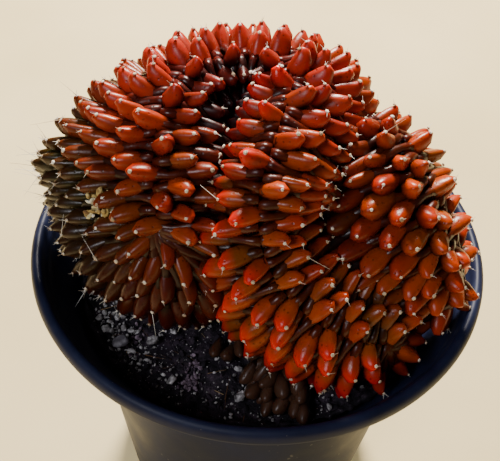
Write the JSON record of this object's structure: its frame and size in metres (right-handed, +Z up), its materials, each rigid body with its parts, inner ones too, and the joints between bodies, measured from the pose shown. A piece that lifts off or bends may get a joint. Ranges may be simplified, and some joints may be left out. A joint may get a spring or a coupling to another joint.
{
  "type": "potted round cactus",
  "caption": "Round crested cactus with ribs of tubercles over folded ridges, rooted in soil in a wide-brimmed tapered plastic nursery pot; stands on the pot's flat base.",
  "frame": {"origin": "middle of the pot's flat underside", "axes": "+Z up along the pot's axis; -Y is the side where the open soil shows in front of the plant"},
  "size_m": [0.1337, 0.13, 0.1581],
  "materials": {
    "pot": "satin moulded nursery-pot plastic",
    "soil": null,
    "crest_body": null,
    "spine_01": "dry hair-like spine",
    "spine_02": "dry hair-like spine",
    "spine_03": "dry hair-like spine",
    "spine_04": "dry hair-like spine",
    "spine_05": "dry hair-like spine",
    "spine_06": "dry hair-like spine",
    "spine_07": "dry hair-like spine",
    "spine_08": "dry hair-like spine",
    "spine_09": "dry hair-like spine",
    "spine_10": "dry hair-like spine",
    "spine_11": "dry hair-like spine",
    "spine_12": "dry hair-like spine",
    "spine_13": "dry hair-like spine",
    "spine_14": "dry hair-like spine",
    "spine_15": "dry hair-like spine",
    "spine_16": "dry hair-like spine",
    "perlite_01": "expanded perlite grain",
    "perlite_02": "expanded perlite grain",
    "perlite_03": "expanded perlite grain",
    "perlite_04": "expanded perlite grain",
    "perlite_05": "expanded perlite grain",
    "perlite_06": "expanded perlite grain",
    "perlite_07": "expanded perlite grain",
    "perlite_08": "expanded perlite grain",
    "perlite_09": "expanded perlite grain",
    "perlite_10": "expanded perlite grain",
    "perlite_11": "expanded perlite grain",
    "perlite_12": "expanded perlite grain",
    "stone_1": "grey gravel",
    "stone_2": "grey gravel",
    "stone_3": "grey gravel"
  },
  "bodies": {
    "root": {"pot": "pot", "soil": "soil", "crest_body": "crest_body", "spine_01": "spine_01", "spine_02": "spine_02", "spine_03": "spine_03", "spine_04": "spine_04", "spine_05": "spine_05", "spine_06": "spine_06", "spine_07": "spine_07", "spine_08": "spine_08", "spine_09": "spine_09", "spine_10": "spine_10", "spine_11": "spine_11", "spine_12": "spine_12", "spine_13": "spine_13", "spine_14": "spine_14", "spine_15": "spine_15", "spine_16": "spine_16", "perlite_01": "perlite_01", "perlite_02": "perlite_02", "perlite_03": "perlite_03", "perlite_04": "perlite_04", "perlite_05": "perlite_05", "perlite_06": "perlite_06", "perlite_07": "perlite_07", "perlite_08": "perlite_08", "perlite_09": "perlite_09", "perlite_10": "perlite_10", "perlite_11": "perlite_11", "perlite_12": "perlite_12", "stone_1": "stone_1", "stone_2": "stone_2", "stone_3": "stone_3"}
  },
  "joints": []
}
